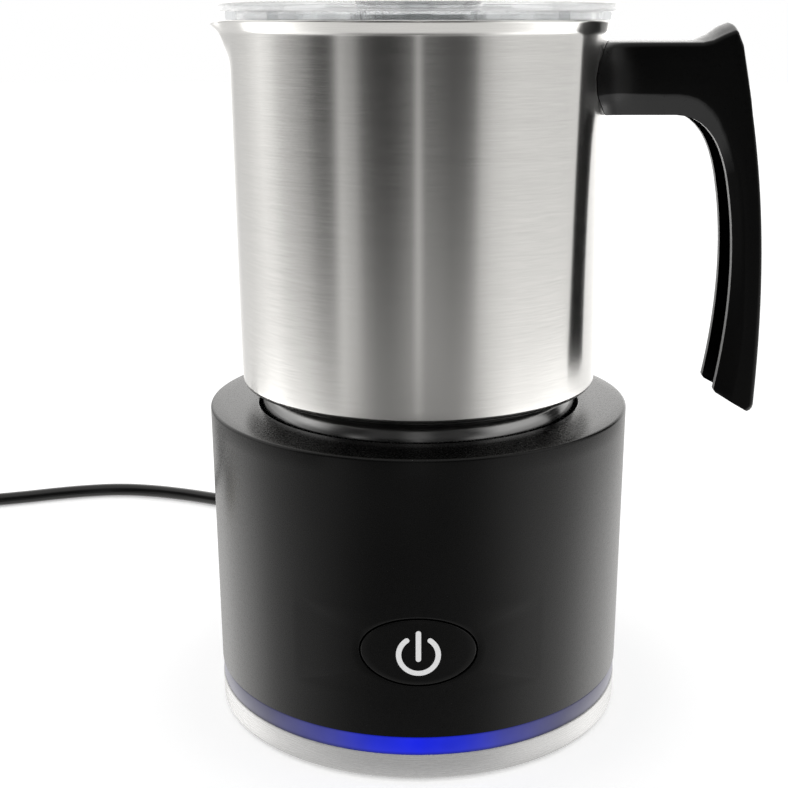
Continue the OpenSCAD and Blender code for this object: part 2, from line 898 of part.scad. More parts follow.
// From the inner turn's far side, up over the outer turn and out to the plug
module cord_tail() {
    climb = [for (i = [0:6]) let (a = 90 - 15*i)
             [coil_c[0] + coil_inner*cos(a), coil_c[1] + coil_inner*sin(a),
              lerp(2.7, 8.2, (1 - cos(30*i))/2)]];
    x = coil_c[0] + coil_inner;
    out = [[x, 180, 8.3], [x, 171, 8.4], [x, 160, 8.4], [x, 149, 7.8],
           [x + 0.2, 138, 6.8], plug_end];
    color([0.03, 0.03, 0.03]) sweep(concat(climb, out), cord_r, cord_sides);
}

// Outer shape of the coiled lead
module cord_coil() {
    low = 0.05;
    color([0.03, 0.03, 0.03])
        translate([coil_c[0], coil_c[1], 0])
            rotate_extrude() polygon([
                [coil_inner - cord_r + 1, low], [coil_outer + cord_r - 1, low],
                [coil_outer + cord_r, 1.6], [coil_outer + cord_r, cord_d - 1.4],
                [coil_outer + cord_r - 1, cord_d + low],
                [coil_inner - cord_r + 1, cord_d + low],
                [coil_inner - cord_r, cord_d - 1.4], [coil_inner - cord_r, 1.6]]);
}

module plug_body() {
    body_y = plug_end[1] - 18;
    color([0.03, 0.03, 0.03])
        translate([plug_end[0], 0, plug_end[2]]) {
            translate([0, plug_end[1], 0])
                rotate([90, 0, 0]) cylinder(h = 18, r1 = 3.4, r2 = 5.4, $fn = round_fn);
            translate([0, body_y, 0])
                rotate([90, 0, 0])
                    linear_extrude(height = 22)
                        hull()
                            for (x = [-7.2, 7.2])
                                translate([x, 0]) circle(r = plug_end[2] - 0.02, $fn = 40);
        }
}

module plug_blades() {
    body_y = plug_end[1] - 18 - 22;
    color([0.8, 0.75, 0.5])
        for (x = [-6.35, 6.35])
            translate([plug_end[0] + x - 0.75, body_y - 17, plug_end[2] - 3.15])
                difference() {
                    cube([1.5, 17, 6.3]);
                    translate([-1, 3.5, 3.15])
                        rotate([0, 90, 0]) cylinder(h = 4, r = 1.55, $fn = 24);
                }
}

base_housing();
well_dish();
dish_screws();
glow_ring();
trim_ring();
bottom_cover();
cover_screws();
rubber_foot();
led_board();
ring_leds();
coil_former();
induction_coil();
ferrite_bars();
motor_bracket();
bracket_screws();
drive_motor();
motor_screws();
motor_shaft();
magnet_carrier();
drive_magnets();
sensor_cap();
sensor_spring();
control_board();
board_screws();
heat_sink();
filter_capacitor();
filter_choke();
terminal_block();
switch_board();
tact_switch();
button_cap();
power_symbol();
switch_plunger();
jug_shell();
jug_foot();
whisk_post();
handle_bracket();
handle_shell();
handle_screws();
whisk_hub();
whisk_magnets();
whisk_coil();
lid_cover();
lid_seal();
strain_relief();
cord();
cord_tail();
cord_coil();
plug_body();
plug_blades();
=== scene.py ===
"""Milk frother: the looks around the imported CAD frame, in metres, in the CAD's own frame."""

import json
import math

import bmesh
import bpy
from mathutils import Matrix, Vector


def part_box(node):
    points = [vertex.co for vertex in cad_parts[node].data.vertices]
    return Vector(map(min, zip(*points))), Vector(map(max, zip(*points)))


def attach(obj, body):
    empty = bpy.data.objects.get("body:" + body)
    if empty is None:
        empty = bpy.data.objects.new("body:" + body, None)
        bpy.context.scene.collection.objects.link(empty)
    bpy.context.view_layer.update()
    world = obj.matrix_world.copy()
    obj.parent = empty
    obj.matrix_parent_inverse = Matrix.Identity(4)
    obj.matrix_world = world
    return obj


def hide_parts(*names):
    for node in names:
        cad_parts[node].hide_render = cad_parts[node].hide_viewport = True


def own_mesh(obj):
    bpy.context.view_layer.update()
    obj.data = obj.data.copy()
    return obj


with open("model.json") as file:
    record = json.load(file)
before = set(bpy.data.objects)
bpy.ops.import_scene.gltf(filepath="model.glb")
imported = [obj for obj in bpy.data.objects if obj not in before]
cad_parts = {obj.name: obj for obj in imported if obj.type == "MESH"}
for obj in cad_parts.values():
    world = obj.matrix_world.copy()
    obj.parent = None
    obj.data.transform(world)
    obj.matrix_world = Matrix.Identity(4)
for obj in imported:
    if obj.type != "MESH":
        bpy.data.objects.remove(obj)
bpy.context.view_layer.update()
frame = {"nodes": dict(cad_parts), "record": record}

MM = 0.001
COLUMNS = 240              # facets round a turned piece


def low(node):
    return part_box(node)[0]


def high(node):
    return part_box(node)[1]


# Driving sizes, from the frame, and the walls and bores that its boxes don't give
BASE_R = high("base_housing").x
BASE_TOP = high("base_housing").z
BASE_WALL = 2.4 * MM
HOUSE_Z = high("glow_ring").z
GLOW_Z = high("trim_ring").z
TRIM_Z = low("trim_ring").z
WELL_R = 47 * MM
WELL_Z = low("jug_foot").z
FOOT_R = high("jug_foot").x
RIM_Z = high("jug_shell").z
RIM_R = high("jug_shell").y
SPOUT_REACH = -low("jug_shell").x
JUG_FLOOR = low("jug_shell").z
STEEL = 0.8 * MM
JUG_R = 51.5 * MM
LID_R = high("lid_cover").x
LID_TOP = high("lid_cover").z
LID_LOW = low("lid_cover").z
HANDLE_W = high("handle_shell").y
WHISK_Z = (low("whisk_coil").z + high("whisk_coil").z) / 2


# ------------------------------------------------------------------ camera and mains lead

def make_camera():
    """Stands in front of the button at the height of the rim, looking down at the base."""
    data = bpy.data.cameras.new("camera")
    data.sensor_width = 36
    data.lens = 61.5
    data.shift_x = -0.031
    data.shift_y = 0.079
    camera = bpy.data.objects.new("camera", data)
    camera.location = (0, -385.7 * MM, 200.7 * MM)
    camera.rotation_euler = (math.radians(90 - 18.1), 0, 0)
    bpy.context.scene.collection.objects.link(camera)
    bpy.context.scene.camera = camera


CORD_D = 5.3 * MM
COIL_AT = (-236, 190)
COIL_OUTER = 33.5          # radius of the lead's outer turn in the coil, then of its inner turn
COIL_INNER = COIL_OUTER - 1.02 * 5.3
FLAT_Z = 2.7               # height of the lead's middle where it lies on the table
OVER_Z = 8.2               # and where it crosses over the outer turn
LEAD_ROUTE = [
    (0, 89, 20), (0, 97, 19.5), (-0.5, 105, 17.6), (-3, 113, 14), (-8, 120.5, 9.6),
    (-15, 127, 6), (-24, 132.5, 3.7), (-35, 137.5, 2.8), (-47, 142.5, 2.7),
    (-61, 148.5, 2.7), (-75, 155, 2.7), (-89, 161.5, 2.7), (-104, 167.5, 2.7),
    (-118, 171.5, 2.7), (-131, 173, 2.7), (-144, 171.5, 2.7), (-157, 168, 2.7),
    (-170, 163.5, 2.7), (-184, 159.5, 2.7), (-200, 157, 2.7), (-218, 156.5, 2.7),
    (-236, 156.5, 2.7),
]
PLUG_END = (-207.6, 126, 6.4)


def coil_points():
    """The outer turn, the inner turn beside it, and the climb over the outer one; clockwise."""
    step = 15
    shift_from = 300       # degrees into the outer turn at which it starts to move inwards
    climb_from = 540
    found = []
    for turned_by in range(step, 631, step):
        inwards = smooth((turned_by - shift_from) / (360 - shift_from))
        radius = COIL_OUTER + (COIL_INNER - COIL_OUTER) * inwards
        climb = smooth((turned_by - climb_from) / (630 - climb_from))
        angle = math.radians(-90 - turned_by)
        found.append((COIL_AT[0] + radius * math.cos(angle), COIL_AT[1] + radius * math.sin(angle),
                      FLAT_Z + (OVER_Z - FLAT_Z) * climb))
    return found


def smooth(t):
    t = min(1, max(0, t))
    return t * t * (3 - 2 * t)


def make_lead(material):
    x = COIL_AT[0] + COIL_INNER
    tail = [(x, 180, 8.3), (x, 171, 8.4), (x, 160, 8.4), (x, 149, 7.8), (x + 0.2, 138, 6.8),
            PLUG_END, (PLUG_END[0], PLUG_END[1] - 4, PLUG_END[2])]
    in_relief = [(0, 81, 20)]
    route = [Vector(p) * MM for p in in_relief + LEAD_ROUTE + coil_points() + tail]
    data = bpy.data.curves.new("lead", "CURVE")
    data.dimensions = "3D"
    data.bevel_depth = CORD_D / 2
    data.bevel_resolution = 5
    data.use_fill_caps = True
    data.resolution_u = 6
    spline = data.splines.new("BEZIER")
    spline.bezier_points.add(len(route) - 1)
    for point, place in zip(spline.bezier_points, route):
        point.co = place
        point.handle_left_type = point.handle_right_type = "AUTO"
    lead = bpy.data.objects.new("lead", data)
    bpy.context.scene.collection.objects.link(lead)
    data.materials.append(material)
    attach(lead, "base")
    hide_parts("cord", "cord_tail", "cord_coil")
    return lead


# ------------------------------------------------------------------ mesh helpers

def arc(centre, radius, start, end, steps):
    """Points (r, z) of an arc; angles are in degrees from the outward direction."""
    angles = [math.radians(start + (end - start) * i / steps) for i in range(steps + 1)]
    return [(centre[0] + radius * math.cos(a), centre[1] + radius * math.sin(a)) for a in angles]


def loft(rings, joined=False, skip=None):
    """Points and faces of a skin over rings of points; a ring of one point is a pole.

    joined closes the last ring to the first, and skip(ring, column) leaves cells open."""
    points, starts, faces = [], [], []
    for ring in rings:
        starts.append(len(points))
        points += ring
    pairs = list(zip(range(len(rings)), range(1, len(rings))))
    if joined:
        pairs.append((len(rings) - 1, 0))
    for i, j in pairs:
        here, there = len(rings[i]), len(rings[j])
        for k in range(max(here, there)):
            if skip and skip(i, k):
                continue
            corners = [starts[i] + k % here, starts[i] + (k + 1) % here,
                       starts[j] + (k + 1) % there, starts[j] + k % there]
            corners = list(dict.fromkeys(corners))
            if len(corners) > 2:
                faces.append(corners)
    return points, faces


def together(*parts):
    """Several (points, faces) as one."""
    points, faces = [], []
    for more_points, more_faces in parts:
        faces += [[i + len(points) for i in face] for face in more_faces]
        points = points + list(more_points)
    return points, faces


def turned(outline, joined=True, place=None, columns=COLUMNS, skip=None):
    """A closed (r, z) outline in millimetres turned about the Z axis."""
    rings = []
    for r, z in outline:
        if r < 0.001:
            rings.append([Vector((0, 0, z)) * MM])
            continue
        ring = []
        for k in range(columns):
            a = 2 * math.pi * k / columns
            point = (r * math.cos(a), r * math.sin(a), z)
            ring.append(Vector(place(point, a) if place else point) * MM)
        rings.append(ring)
    return loft(rings, joined=joined, skip=skip)


def moved(part, offset, turn=0):
    """Points and faces turned about Z by degrees, then moved by millimetres."""
    c, s = math.cos(math.radians(turn)), math.sin(math.radians(turn))
    points = [Vector((c * p.x - s * p.y, s * p.x + c * p.y, p.z)) + Vector(offset) * MM
              for p in part[0]]
    return points, part[1]


def make_piece(name, part, body, slot, stands_for, sharp=35):
    """A mesh piece on a body, smooth but for edges sharper than so many degrees."""
    mesh = bpy.data.meshes.new(name)
    mesh.from_pydata([tuple(p) for p in part[0]], [], part[1])
    work = bmesh.new()
    work.from_mesh(mesh)
    bmesh.ops.remove_doubles(work, verts=work.verts, dist=1e-7)
    bmesh.ops.recalc_face_normals(work, faces=work.faces)
    work.to_mesh(mesh)
    work.free()
    mesh.shade_smooth()
    mesh.set_sharp_from_angle(angle=math.radians(sharp))
    mesh.materials.append(MATERIALS[slot])
    piece = bpy.data.objects.new(name, mesh)
    bpy.context.scene.collection.objects.link(piece)
    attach(piece, body)
    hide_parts(*stands_for)
    return piece


# ------------------------------------------------------------------ node helpers

def add(tree, kind, inputs=None, **settings):
    """A shader node; each input is a value, or a socket to link."""
    made = tree.nodes.new("ShaderNode" + kind)
    for key, value in settings.items():
        setattr(made, key, value)
    for key, value in (inputs or {}).items():
        if isinstance(value, bpy.types.NodeSocket):
            tree.links.new(value, made.inputs[key])
        else:
            made.inputs[key].default_value = value
    return made


def in_mm(tree, stretch=(1, 1, 1)):
    """Object coordinates in millimetres, stretched along each axis."""
    place = add(tree, "TexCoord").outputs["Object"]
    return add(tree, "Mapping", {"Vector": place, "Scale": [1000 * s for s in stretch]}).outputs[0]


def noise(tree, vector, scale, detail=2.0, roughness=0.5):
    return add(tree, "TexNoise", {"Vector": vector, "Scale": scale, "Detail": detail,
                                  "Roughness": roughness}).outputs[0]


def ranged(tree, value, low_out, high_out, low_in=0.3, high_in=0.7):
    return add(tree, "MapRange", {"Value": value, "From Min": low_in, "From Max": high_in,
                                  "To Min": low_out, "To Max": high_out}).outputs[0]


def sums(tree, operation, a, b=0.0, c=0.0):
    return add(tree, "Math", {0: a, 1: b, 2: c}, operation=operation).outputs[0]


def graded(tree, value, stops):
    """A colour ramp from [(place, colour or grey), ...]."""
    made = add(tree, "ValToRGB", {0: value})
    while len(made.color_ramp.elements) < len(stops):
        made.color_ramp.elements.new(0.5)
    for element, (place, colour) in zip(made.color_ramp.elements, stops):
        element.position = place
        element.color = (*colour, 1) if isinstance(colour, tuple) else (colour,) * 3 + (1,)
    return made.outputs[0]


def start(name, base=(0.5, 0.5, 0.5), roughness=0.5, metallic=0.0, level=0.5):
    """A new material with its tree and its Principled shader."""
    material = bpy.data.materials.new(name)
    material.use_nodes = True
    tree = material.node_tree
    shader = tree.nodes["Principled BSDF"]
    shader.inputs["Base Color"].default_value = (*base, 1)
    shader.inputs["Roughness"].default_value = roughness
    shader.inputs["Metallic"].default_value = metallic
    shader.inputs["Specular IOR Level"].default_value = level
    return material, tree, shader


def drive(tree, shader, **sockets):
    """Links values to the shader's inputs, by the short names below."""
    names = {"colour": "Base Color", "rough": "Roughness", "normal": "Normal",
             "tangent": "Tangent", "glow": "Emission Color", "strength": "Emission Strength"}
    for key, value in sockets.items():
        tree.links.new(value, shader.inputs[names[key]])


def bumped(tree, height, depth):
    """A normal from a height from 0 to 1; depth is in millimetres."""
    return add(tree, "Bump", {"Height": height, "Distance": depth * MM,
                              "Strength": 1.0}).outputs[0]


# ------------------------------------------------------------------ materials

def moulded(name, dark, light, rough, grain, depth, level=0.5):
    """Moulded plastic: a fine spark-eroded grain, and slow changes of colour and gloss."""
    material, tree, shader = start(name, level=level)
    fine = noise(tree, in_mm(tree), grain, 3.0)
    slow = noise(tree, in_mm(tree), 0.05, 2.0)
    drive(tree, shader, colour=graded(tree, slow, [(0.35, dark), (0.65, light)]),
          rough=ranged(tree, noise(tree, in_mm(tree), 0.9, 4.0), rough[0], rough[1]),
          normal=bumped(tree, fine, depth))
    return material


def handle_plastic():
    """The handle's black plastic; the faces that look down are painted a little paler, a painted
    reflection of the white table below them.
    """
    material, tree, shader = start("handle_black", level=0.15)
    fine = noise(tree, in_mm(tree), 3.0, 3.0)
    upward = add(tree, "SeparateXYZ", {0: add(tree, "NewGeometry").outputs["Normal"]}).outputs[2]
    # painted reflection: faces that look down are coloured paler in place of light from the white
    # table; the noise only blurs where it starts
    painted_table_light = sums(tree, "MULTIPLY_ADD", noise(tree, in_mm(tree), 0.25, 3.0), 0.03, upward)
    shade = graded(tree, ranged(tree, painted_table_light, 0.0, 1.0, -0.5, 0.1),
                   [(0.0, 0.03), (0.52, 0.03), (0.66, 0.0009), (1.0, 0.0007)])
    gloss = noise(tree, in_mm(tree), 0.9, 4.0)
    drive(tree, shader, colour=shade, rough=ranged(tree, gloss, 0.27, 0.34),
          normal=bumped(tree, fine, 0.008))
    return material


def turned_metal(name, colour, rough, streak=6.0, depth=0.004):
    """Plain metal with fine marks that run round it."""
    material, tree, shader = start(name, colour, metallic=1.0)
    marks = noise(tree, in_mm(tree, (0.15, 0.15, 1)), streak, 3.0)
    drive(tree, shader, rough=ranged(tree, marks, rough[0], rough[1]),
          normal=bumped(tree, marks, depth))
    return material


def brushed_steel():
    """The jug's sheet: brushed round it, so reflections smear up and down."""
    material, tree, shader = start("jug_steel", metallic=1.0)
    shader.inputs["Anisotropic"].default_value = 0.88
    strokes = noise(tree, in_mm(tree, (0.02, 0.02, 1)), 5.0, 4.0, 0.7)
    broad = noise(tree, in_mm(tree, (0.01, 0.01, 1)), 0.35, 3.0)
    place = add(tree, "TexCoord").outputs["Object"]
    tangent = add(tree, "VectorMath", {0: place, 1: (20, 20, 0), 2: (0, 0, 1)},
                  operation="MULTIPLY_ADD").outputs[0]
    both = sums(tree, "MULTIPLY_ADD", strokes, 0.82, sums(tree, "MULTIPLY", broad, 0.18))
    drive(tree, shader,
          colour=graded(tree, both, [(0.3, (0.62, 0.615, 0.60)), (0.7, (0.70, 0.695, 0.68))]),
          rough=ranged(tree, both, 0.145, 0.19), normal=bumped(tree, strokes, 0.0008),
          tangent=tangent)
    return material


# Emission of the light ring by its angle from the button, as a share of half a turn
GLOW_COLOURS = [(0.0, (0.004, 0.014, 0.76)), (0.065, (0.013, 0.024, 0.58)),
                (0.125, (0.042, 0.048, 0.31)), (0.19, (0.058, 0.06, 0.19)),
                (0.25, (0.06, 0.06, 0.12)), (0.36, (0.06, 0.06, 0.10)), (1.0, (0.04, 0.04, 0.07))]


def glow_plastic():
    """Milky plastic of the light ring: blue in front of the lit LEDs, grey beyond them."""
    material, tree, shader = start("glow_blue", roughness=0.25, level=0.15)
    split = add(tree, "SeparateXYZ", {0: add(tree, "TexCoord").outputs["Object"]})
    angle = sums(tree, "ARCTAN2", split.outputs[0], sums(tree, "MULTIPLY", split.outputs[1], -1.0))
    away = sums(tree, "DIVIDE", sums(tree, "ABSOLUTE", angle), math.pi)
    slow = noise(tree, in_mm(tree), 0.12, 2.0)
    height = ranged(tree, split.outputs[2], 0.0, 1.0, GLOW_Z, HOUSE_Z)
    shade = graded(tree, height, [(0.0, 0.4), (0.2, 1.0), (0.9, 1.0), (1.0, 0.7)])
    drive(tree, shader, glow=graded(tree, away, GLOW_COLOURS),
          strength=sums(tree, "MULTIPLY", ranged(tree, slow, 0.92, 1.08), shade),
          colour=graded(tree, slow, [(0.3, (0.004, 0.004, 0.006)), (0.7, (0.006, 0.006, 0.009))]))
    return material


def trim_metal():
    """Satin silver lacquer of the ring at the bottom."""
    material, tree, shader = start("trim_silver", metallic=0.35)
    brush = noise(tree, in_mm(tree, (0.05, 0.05, 1)), 5.0, 3.0)
    drive(tree, shader,
          colour=graded(tree, brush, [(0.3, (0.43, 0.428, 0.423)), (0.7, (0.46, 0.458, 0.453))]),
          rough=ranged(tree, brush, 0.24, 0.30), normal=bumped(tree, brush, 0.001))
    return material


def clear_plastic():
    """The lid: clear and a little smeared; its alpha lets part of the light straight through."""
    material, tree, shader = start("clear_lid", (0.70, 0.715, 0.72), 0.04)
    shader.inputs["Transmission Weight"].default_value = 1.0
    shader.inputs["IOR"].default_value = 1.49
    shader.inputs["Alpha"].default_value = 0.62
    smears = noise(tree, in_mm(tree), 0.08, 3.0)
    drive(tree, shader, rough=ranged(tree, smears, 0.02, 0.07),
          normal=bumped(tree, noise(tree, in_mm(tree), 0.15, 2.0), 0.01))
    return material


def symbol_white():
    """White light guide, lit from behind, a little brighter at its edges."""
    material, tree, shader = start("symbol_white", (0.58, 0.58, 0.58), 0.4, level=0.3)
    fine = noise(tree, in_mm(tree), 1.5, 2.0)
    drive(tree, shader, glow=graded(tree, fine, [(0.3, 0.8), (0.7, 0.9)]),
          normal=bumped(tree, fine, 0.01))
    shader.inputs["Emission Strength"].default_value = 0.1
    return material


def soft(name, dark, light, rough=0.6, grain=3.0, depth=0.02):
    """Rubber and silicone."""
    return moulded(name, dark, light, (rough - 0.05, rough + 0.08), grain, depth, level=0.4)


def board_green():
    """Circuit board: green lacquer over copper tracks."""
    material, tree, shader = start("board_green", roughness=0.35)
    tracks = add(tree, "TexBrick", {"Vector": in_mm(tree), "Scale": 0.5, "Mortar Size": 0.08,
                                    "Color1": (0.01, 0.10, 0.03, 1),
                                    "Color2": (0.012, 0.13, 0.04, 1),
                                    "Mortar": (0.04, 0.20, 0.06, 1)}).outputs[0]
    drive(tree, shader, colour=tracks, normal=bumped(tree, noise(tree, in_mm(tree), 2.0), 0.02))
    return material


def wound_copper():
    """Enamelled strands of the induction coil."""
    material, tree, shader = start("coil_copper", metallic=1.0)
    strands = noise(tree, in_mm(tree, (0.1, 0.1, 1)), 8.0, 3.0)
    drive(tree, shader,
          colour=graded(tree, strands, [(0.3, (0.55, 0.22, 0.08)), (0.7, (0.85, 0.42, 0.2))]),
          rough=ranged(tree, strands, 0.25, 0.45), normal=bumped(tree, strands, 0.05))
    return material


def lacquered_black():
    """Polished black lacquer of the foot ring, with faint polishing marks round it."""
    material, tree, shader = start("gloss_black", (0.003, 0.003, 0.003), level=1.0)
    shader.inputs["IOR"].default_value = 2.1
    marks = noise(tree, in_mm(tree, (0.1, 0.1, 1)), 3.0, 3.0)
    drive(tree, shader, rough=ranged(tree, marks, 0.14, 0.24), normal=bumped(tree, marks, 0.004))
    return material


def make_materials():
    """One material for each slot of the record."""
    grey = (0.62, 0.62, 0.63)
    return {
        "satin_black": moulded("satin_black", 0.0008, 0.0014, (0.25, 0.29), 2.6, 0.008, 0.2),
        "inner_black": moulded("inner_black", 0.02, 0.028, (0.4, 0.55), 2.0, 0.01),
        "gloss_black": lacquered_black(),
        "handle_black": handle_plastic(),
        "jug_steel": brushed_steel(),
        "plain_steel": turned_metal("plain_steel", grey, (0.2, 0.35)),
        "spring_wire": turned_metal("spring_wire", (0.66, 0.66, 0.67), (0.14, 0.26), 3.0, 0.002),
        "aluminium_cap": turned_metal("aluminium_cap", (0.78, 0.78, 0.79), (0.3, 0.4)),
        "trim_silver": trim_metal(),
        "glow_blue": glow_plastic(),
        "symbol_white": symbol_white(),
        "led_white": moulded("led_white", 0.7, 0.8, (0.2, 0.3), 1.0, 0.01),
        "foot_rubber": soft("foot_rubber", 0.02, 0.03),
        "lead_rubber": moulded("lead_rubber", 0.0012, 0.002, (0.20, 0.27), 1.5, 0.01),
        "blade_brass": turned_metal("blade_brass", (0.78, 0.66, 0.38), (0.2, 0.3)),
        "clear_lid": clear_plastic(),
        "seal_silicone": soft("seal_silicone", 0.72, 0.78, 0.5, 1.0, 0.01),
        "whisk_black": moulded("whisk_black", 0.01, 0.014, (0.3, 0.4), 2.0, 0.01),
        "screw_zinc": turned_metal("screw_zinc", (0.7, 0.7, 0.72), (0.25, 0.4)),
        "motor_steel": turned_metal("motor_steel", (0.58, 0.59, 0.6), (0.25, 0.4)),
        "magnet_nickel": turned_metal("magnet_nickel", (0.66, 0.64, 0.6), (0.12, 0.22)),
        "former_cream": moulded("former_cream", 0.55, 0.62, (0.5, 0.6), 1.0, 0.02),
        "coil_copper": wound_copper(),
        "ferrite_grey": moulded("ferrite_grey", 0.03, 0.045, (0.6, 0.75), 2.0, 0.03),
        "board_green": board_green(),
        "capacitor_blue": moulded("capacitor_blue", (0.02, 0.05, 0.22), (0.03, 0.07, 0.28),
                                  (0.25, 0.35), 1.0, 0.01),
    }


def paint_cad_nodes():
    """Gives every CAD node that still shows the material of its slot."""
    for row in frame["record"]["subparts"]:
        node = frame["nodes"][row["node"]]
        node.data.materials.clear()
        node.data.materials.append(MATERIALS[row["material_slot"]])


# ------------------------------------------------------------------ studio

# What polished surfaces see round the object: brightness at each angle in degrees from the
# front, positive towards the handle. Light walls, dark flags and two thin strips of light.
LEVEL_BANDS = [
    (-180, 2.2), (-165, 1.05), (-150, 0.84), (-126, 0.93), (-108, 1.08), (-99, 1.0), (-89, 0.78),
    (-77, 0.60), (-70, 0.48), (-63, 0.30), (-57, 0.25), (-53, 0.33), (-47, 0.76), (-38, 0.58),
    (-32, 0.28), (-25, 0.15), (-18, 0.13), (-12, 0.19), (-4, 0.34), (0, 0.74), (4, 0.36),
    (12, 0.30), (20, 0.23), (27, 0.26), (32, 0.37), (38, 0.72), (45, 0.86), (56, 0.9),
    (100, 0.9), (130, 1.1), (157, 1.5), (180, 2.2),
]
# The same for directions well below the horizon, and for those above it
LOWER_BANDS = [
    (-180, 0.8), (-153, 1.2), (-140, 2.0), (-128, 2.4), (-112, 2.9), (-102, 2.8), (-90, 2.0),
    (-78, 1.6), (-65, 1.2), (-52, 0.8), (-39, 0.4), (-26, 0.24), (-10, 0.18), (10, 0.18),
    (26, 0.28), (39, 0.6), (52, 1.3), (65, 1.9), (78, 2.1), (90, 2.4), (103, 2.9), (116, 2.9),
    (128, 2.3), (141, 1.8), (154, 1.3), (180, 0.8),
]
HIGH_BANDS = [
    (-180, 2.1), (-150, 1.8), (-110, 1.4), (-88, 1.7), (-74, 1.0), (-63, 0.1), (-44, 0.05),
    (-30, 0.12), (-14, 0.08), (-5, 0.3), (5, 0.3), (12, 0.08), (30, 0.1), (44, 0.12),
    (53, 0.8), (62, 1.3), (100, 1.3), (108, 0.1), (124, 0.1), (131, 1.3), (150, 1.6), (180, 2.1),
]
TABLE_GLOW = 0.95          # brightness of the lit table, straight below
CEILING_GLOW = 1.0         # and of the ceiling, straight above


def make_world():
    """White for the camera and for soft light; bands of light and dark for reflections."""
    world = bpy.data.worlds.new("studio")
    bpy.context.scene.world = world
    world.use_nodes = True
    world.cycles.sampling_method = "NONE"
    tree = world.node_tree
    tree.nodes.clear()
    split = add(tree, "SeparateXYZ", {0: add(tree, "TexCoord").outputs["Generated"]})
    x, y, z = split.outputs
    turn = sums(tree, "ARCTAN2", x, sums(tree, "MULTIPLY", y, -1.0))
    share = sums(tree, "MULTIPLY_ADD", turn, 0.5 / math.pi, 0.5)
    scale = 4.0            # a ramp holds no more than 1

    def bands(stops):
        ramp = graded(tree, share, [((a + 180) / 360, v / scale) for a, v in stops])
        return sums(tree, "MULTIPLY", ramp, scale)

    def blend(lower, upper, start_z, end_z):
        way = ranged(tree, z, 0.0, 1.0, start_z, end_z)
        return add(tree, "Mix", {0: way, 2: lower, 3: upper}).outputs[0]

    # The walls' stripes are strong at the horizon and fade towards the table
    contrast = ranged(tree, z, 0.3, 2.2, -0.29, 0.0)
    level = sums(tree, "POWER", bands(LEVEL_BANDS), contrast)
    seen = blend(TABLE_GLOW, bands(LOWER_BANDS), -0.62, -0.54)
    seen = blend(seen, level, -0.315, -0.285)
    seen = blend(seen, bands(HIGH_BANDS), 0.08, 0.22)
    seen = blend(seen, CEILING_GLOW, 0.6, 0.9)
    rays = add(tree, "LightPath")
    shiny = sums(tree, "MULTIPLY", rays.outputs["Is Glossy Ray"],
                 sums(tree, "LESS_THAN", rays.outputs["Transmission Depth"], 0.5))
    room = add(tree, "Background", {"Color": (1, 1, 1, 1), "Strength": 1.0})
    studio = add(tree, "Background", {"Color": (1.0, 0.99, 0.975, 1), "Strength": seen})
    both = add(tree, "MixShader", {0: shiny, 1: room.outputs[0], 2: studio.outputs[0]})
    output = add(tree, "OutputWorld")
    tree.links.new(both.outputs[0], output.inputs[0])


def make_floor():
    """A plain white floor; shiny surfaces see the lower part of the world in its place."""
    size = 4.0
    data = bpy.data.meshes.new("floor")
    data.from_pydata([(-size, -size, 0), (size, -size, 0), (size, size, 0), (-size, size, 0)],
                     [], [(0, 1, 2, 3)])
    floor = bpy.data.objects.new("floor", data)
    bpy.context.scene.collection.objects.link(floor)
    floor.visible_glossy = False
    material, tree, shader = start("floor_white", (0.88, 0.88, 0.88), 0.9, level=0.0)
    shader.inputs["Emission Color"].default_value = (1, 1, 1, 1)
    shader.inputs["Emission Strength"].default_value = 0.32
    slow = noise(tree, in_mm(tree), 0.004)
    drive(tree, shader, colour=graded(tree, slow, [(0.3, 0.87), (0.7, 0.89)]))
    data.materials.append(material)


# ------------------------------------------------------------------ base

def on_wall(x, z, radius, side):
    """The point of a round wall at x and z; side is -1 in front and +1 at the back."""
    return Vector((x, side * math.sqrt(radius * radius - x * x), z)) * MM


# The button's opening, and the gap between it and the cap, in millimetres
OVAL_W = 32
OVAL_H = 20
OVAL_Z = 39.4
OVAL_GAP = 0.45
LEAD_HOLE_Z = 20
LEAD_HOLE_R = 4.2


def oval(t, grow):
    """The button opening's outline, grown by so much."""
    return (OVAL_W / 2 + grow) * math.cos(t), OVAL_Z + (OVAL_H / 2 + grow) * math.sin(t)


def round_hole(centre_z, radius):
    """The outline of a round opening, as a function like oval."""
    def at(t, grow):
        return (radius + grow) * math.cos(t), centre_z + (radius + grow) * math.sin(t)
    return at


def pierced_patch(radius, rows, columns, edge, side, rounding):
    """Fills a rectangle of a round wall's grid up to the edge of an opening.

    rows are heights, columns are x values, and edge(t, grow) is the opening's outline."""
    bottom = [(x, rows[0]) for x in columns[:-1]]
    right = [(columns[-1], z) for z in rows[:-1]]
    top = [(x, rows[-1]) for x in reversed(columns[1:])]
    left = [(columns[0], z) for z in reversed(rows[1:])]
    rim = bottom + right + top + left
    middle = edge(0, 0)[1]
    half_w, half_h = edge(0, 0)[0], edge(math.pi / 2, 0)[1] - middle
    turns = [math.atan2((z - middle) / half_h, x / half_w) for x, z in rim]
    rings = []
    for share in (1, 0.6, 0.3, 0.12, 0):
        ring = []
        for (x, z), t in zip(rim, turns):
            ex, ez = edge(t, rounding)
            ring.append(on_wall(ex + (x - ex) * share, ez + (z - ez) * share, radius, side))
        rings.append(ring)
    for tilt in ((30, 60, 90) if rounding else ()):
        a = math.radians(tilt)
        rings.append([on_wall(*edge(t, rounding * (1 - math.sin(a))),
                              radius - rounding * (1 - math.cos(a)), side) for t in turns])
    return rings, turns


